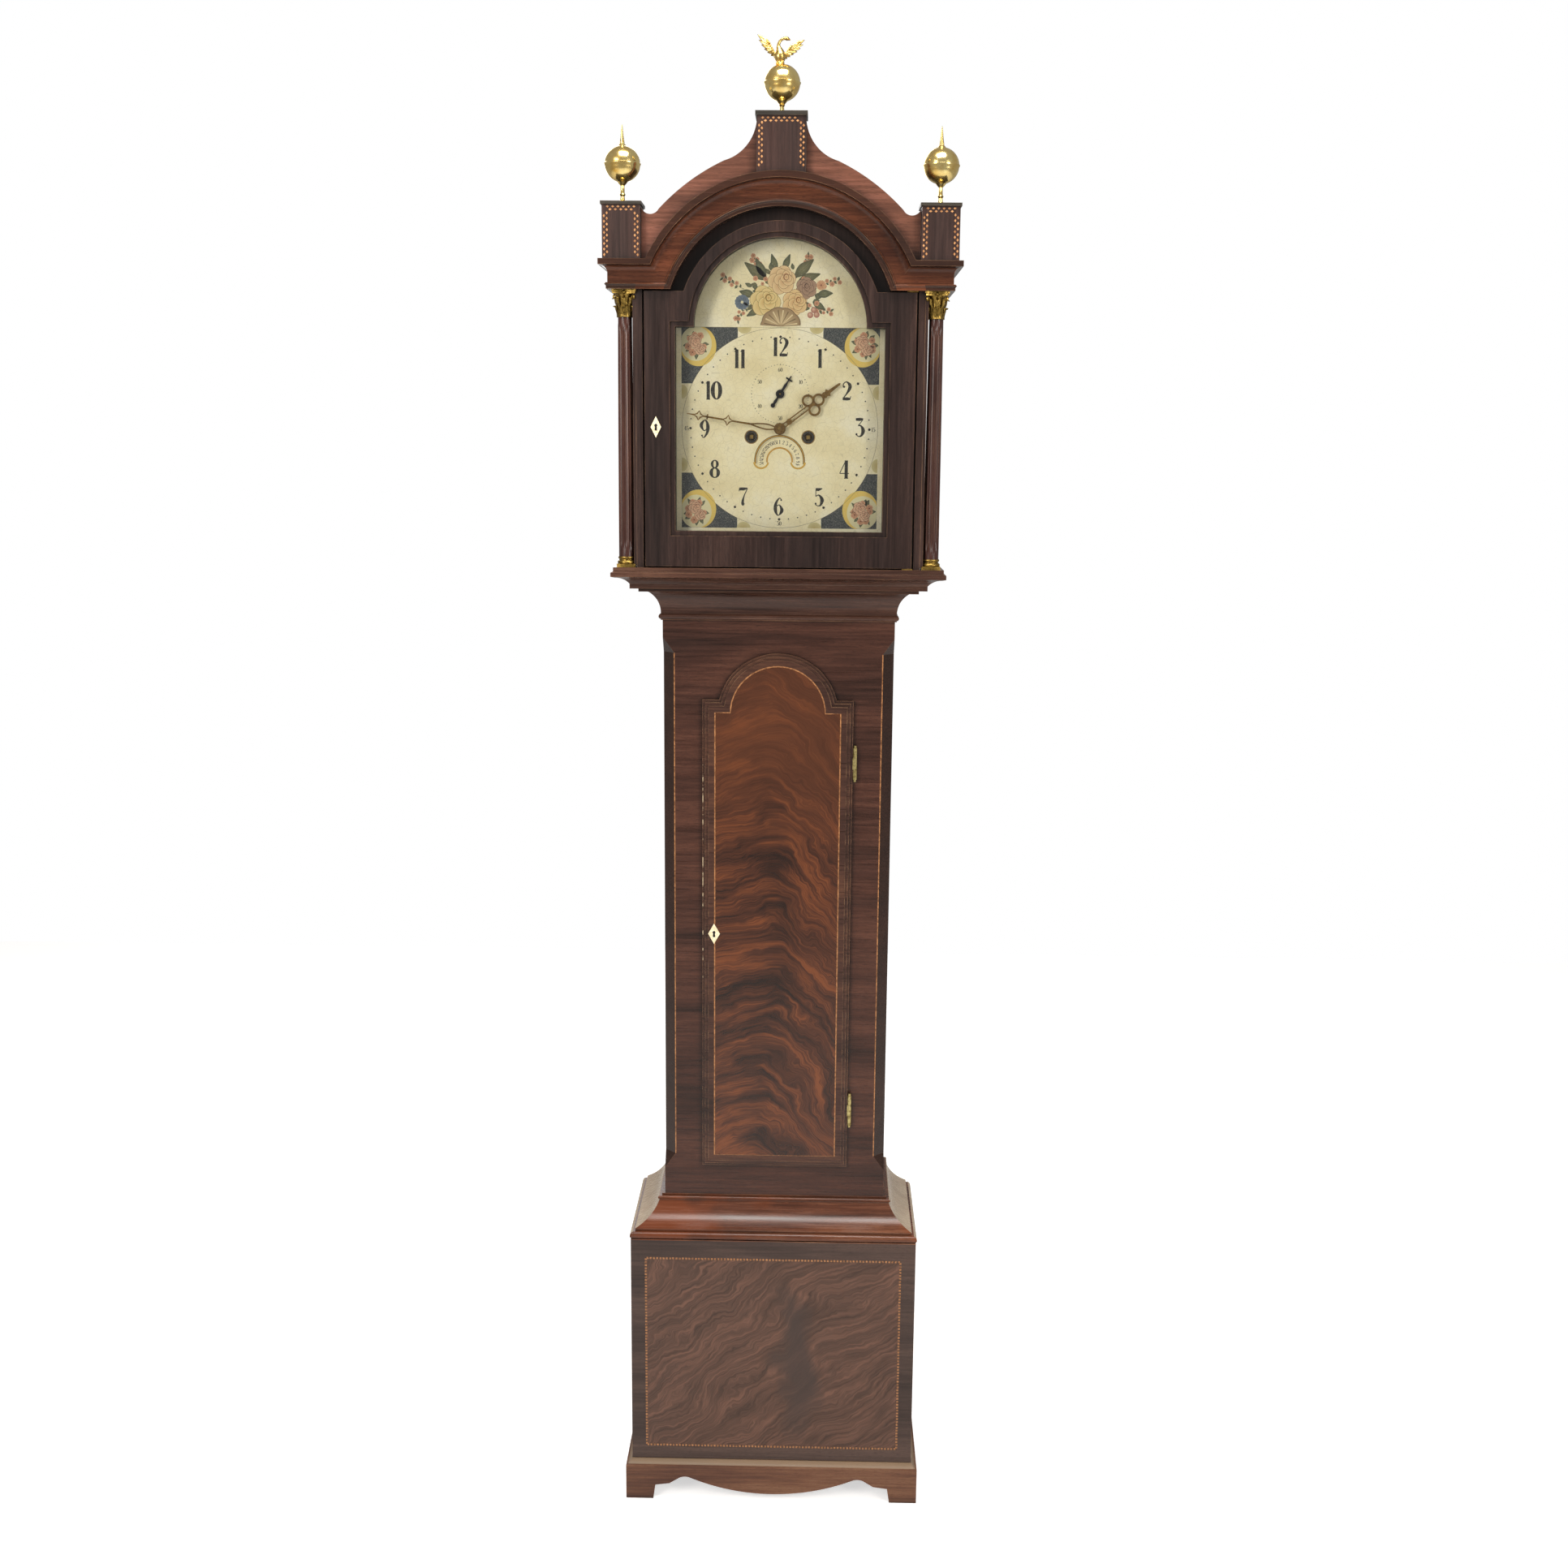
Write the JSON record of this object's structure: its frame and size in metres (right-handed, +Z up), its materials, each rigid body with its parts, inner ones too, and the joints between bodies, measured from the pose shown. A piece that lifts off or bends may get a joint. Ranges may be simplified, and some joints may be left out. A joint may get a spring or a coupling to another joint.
{
  "type": "longcase clock",
  "caption": "Mahogany longcase clock: sliding arched hood with glazed door, columns and gilt finials, long trunk door, painted dial, weight-driven movement, bracket feet.",
  "frame": {"origin": "on the floor under the middle of the case", "axes": "X to the right seen from the front, Y back from the dial to the backboard, Z up"},
  "size_m": [0.508, 0.256, 2.218],
  "materials": {
    "mahogany": "waxed, satin",
    "pine": "bare, matt",
    "brass": "lacquered, satin",
    "gilt_brass": "polished",
    "steel": "polished, aged",
    "iron": "dark",
    "dial_paint": "satin",
    "black_paint": "blued",
    "window_glass": "clear",
    "bone": "polished",
    "gut": "matt"
  },
  "bodies": {
    "case": {"bracket_feet": "mahogany", "base_front": "mahogany", "base_carcass": "mahogany", "base_moulding": "mahogany", "trunk_frame": "mahogany", "trunk_sides": "mahogany", "throat_moulding": "mahogany", "backboard": "pine", "seatboard": "pine", "dial_plate": "dial_paint", "movement_posts": "brass", "movement_plates": "brass", "back_cock": "brass", "bell": "brass", "bell_stand": "steel", "trunk_hinges_fixed": "brass", "going_line": "gut", "strike_line": "gut"},
    "hood": {"hood_base": "mahogany", "hood_carcass": "mahogany", "hood_mask": "mahogany", "cornice": "mahogany", "pediment_wings": "mahogany", "plinth_blocks": "mahogany", "plinth_caps": "mahogany", "columns": "mahogany", "capitals": "gilt_brass", "column_bases": "gilt_brass", "finials": "gilt_brass", "hood_pivots": "brass"},
    "hood_door": {"hood_door_frame": "mahogany", "hood_glass": "window_glass", "hood_escutcheon": "bone", "hood_lock": "steel"},
    "long_door": {"trunk_door": "mahogany", "trunk_escutcheon": "bone", "trunk_lock": "steel", "trunk_hinges_moving": "brass"},
    "minute_train": {"centre_arbor": "brass", "minute_hand": "brass"},
    "hour_train": {"hour_wheel": "brass", "hour_hand": "brass"},
    "escape_train": {"escape_wheel": "brass", "seconds_hand": "black_paint"},
    "third_train": {"third_wheel": "brass"},
    "going_great": {"going_great_wheel": "brass"},
    "strike_great": {"strike_great_wheel": "brass"},
    "reverse_train": {"reverse_wheel": "brass"},
    "calendar": {"calendar_disc": "dial_paint"},
    "anchor_arbor": {"anchor": "steel"},
    "hammer_arbor": {"hammer": "steel"},
    "going_winding": {"going_barrel": "brass"},
    "strike_winding": {"strike_barrel": "brass"},
    "going_block": {"going_pulley": "brass"},
    "strike_block": {"strike_pulley": "brass"},
    "going_mass": {"going_weight": "iron"},
    "strike_mass": {"strike_weight": "iron"},
    "pendulum": {"pendulum_rod": "steel", "pendulum_bob": "brass"}
  },
  "joints": [
    {"name": "hood_slide", "type": "slide", "parent": "case", "child": "hood", "axis": [0, -1, 0], "range_m": [0, 0.3]},
    {"name": "hood_door_hinge", "type": "hinge", "parent": "hood", "child": "hood_door", "pos_m": [0.1875, -0.107, 1.68], "axis": [0, 0, 1], "range_deg": [0, 95]},
    {"name": "trunk_door_hinge", "type": "hinge", "parent": "case", "child": "long_door", "pos_m": [0.1165, -0.056, 0.92], "axis": [0, 0, 1], "range_deg": [0, 160]},
    {"name": "minute_spin", "type": "hinge", "parent": "case", "child": "minute_train", "pos_m": [0, 0, 1.686], "axis": [0, 1, 0], "continuous": true},
    {"name": "hour_spin", "type": "hinge", "parent": "case", "child": "hour_train", "pos_m": [0, -0.05, 1.686], "axis": [0, 1, 0], "continuous": true},
    {"name": "third_spin", "type": "hinge", "parent": "case", "child": "third_train", "pos_m": [-0.01637, 0, 1.71185], "axis": [0, 1, 0], "continuous": true},
    {"name": "escape_spin", "type": "hinge", "parent": "case", "child": "escape_train", "pos_m": [0, 0, 1.735], "axis": [0, 1, 0], "continuous": true},
    {"name": "going_great_spin", "type": "hinge", "parent": "case", "child": "going_great", "pos_m": [0.041, 0, 1.6745], "axis": [0, 1, 0], "continuous": true},
    {"name": "reverse_spin", "type": "hinge", "parent": "case", "child": "reverse_train", "pos_m": [0, -0.05, 1.6536], "axis": [0, 1, 0], "continuous": true},
    {"name": "strike_great_spin", "type": "hinge", "parent": "case", "child": "strike_great", "pos_m": [-0.041, 0, 1.6745], "axis": [0, 1, 0], "continuous": true},
    {"name": "calendar_spin", "type": "hinge", "parent": "case", "child": "calendar", "pos_m": [0, -0.073, 1.641], "axis": [0, 1, 0], "continuous": true},
    {"name": "pendulum_swing", "type": "hinge", "parent": "case", "child": "pendulum", "pos_m": [0, 0.058, 1.766], "axis": [0, 1, 0], "range_deg": [-2.5, 2.5]},
    {"name": "anchor_rock", "type": "hinge", "parent": "case", "child": "anchor_arbor", "pos_m": [0, 0, 1.766], "axis": [0, 1, 0], "range_deg": [-2.6, 2.6]},
    {"name": "hammer_lift", "type": "hinge", "parent": "case", "child": "hammer_arbor", "pos_m": [0.06, 0, 1.745], "axis": [0, 1, 0], "range_deg": [0, 12], "stiffness_Nm_per_rad": 0.3, "springref_deg": -8.59},
    {"name": "going_weight_rise", "type": "slide", "parent": "case", "child": "going_mass", "axis": [0, 0, 1], "range_m": [0, 1.1], "deforming": ["going_line"]},
    {"name": "going_barrel_turn", "type": "hinge", "parent": "case", "child": "going_winding", "pos_m": [0.041, 0, 1.6745], "axis": [0, 1, 0], "range_deg": [0, 5300]},
    {"name": "going_pulley_turn", "type": "hinge", "parent": "going_mass", "child": "going_block", "pos_m": [0.041, 0.004, 0.375], "axis": [0, 1, 0], "range_deg": [0, 2650]},
    {"name": "strike_weight_rise", "type": "slide", "parent": "case", "child": "strike_mass", "axis": [0, 0, 1], "range_m": [0, 1.1], "deforming": ["strike_line"]},
    {"name": "strike_barrel_turn", "type": "hinge", "parent": "case", "child": "strike_winding", "pos_m": [-0.041, 0, 1.6745], "axis": [0, 1, 0], "range_deg": [0, 5300]},
    {"name": "strike_pulley_turn", "type": "hinge", "parent": "strike_mass", "child": "strike_block", "pos_m": [-0.041, 0.004, 0.375], "axis": [0, 1, 0], "range_deg": [0, 2650]}
  ],
  "couplings": [
    {"joint": "hour_spin", "follows": "minute_spin", "ratio": 0.083333},
    {"joint": "third_spin", "follows": "minute_spin", "ratio": -7.5},
    {"joint": "escape_spin", "follows": "minute_spin", "ratio": 60},
    {"joint": "going_great_spin", "follows": "minute_spin", "ratio": -0.083333},
    {"joint": "reverse_spin", "follows": "minute_spin", "ratio": -1},
    {"joint": "anchor_rock", "follows": "pendulum_swing", "ratio": 1},
    {"joint": "going_barrel_turn", "follows": "going_weight_rise", "rad_per_m": 83.333},
    {"joint": "going_pulley_turn", "follows": "going_weight_rise", "rad_per_m": 41.667},
    {"joint": "strike_barrel_turn", "follows": "strike_weight_rise", "rad_per_m": 83.333},
    {"joint": "strike_pulley_turn", "follows": "strike_weight_rise", "rad_per_m": 41.667}
  ]
}
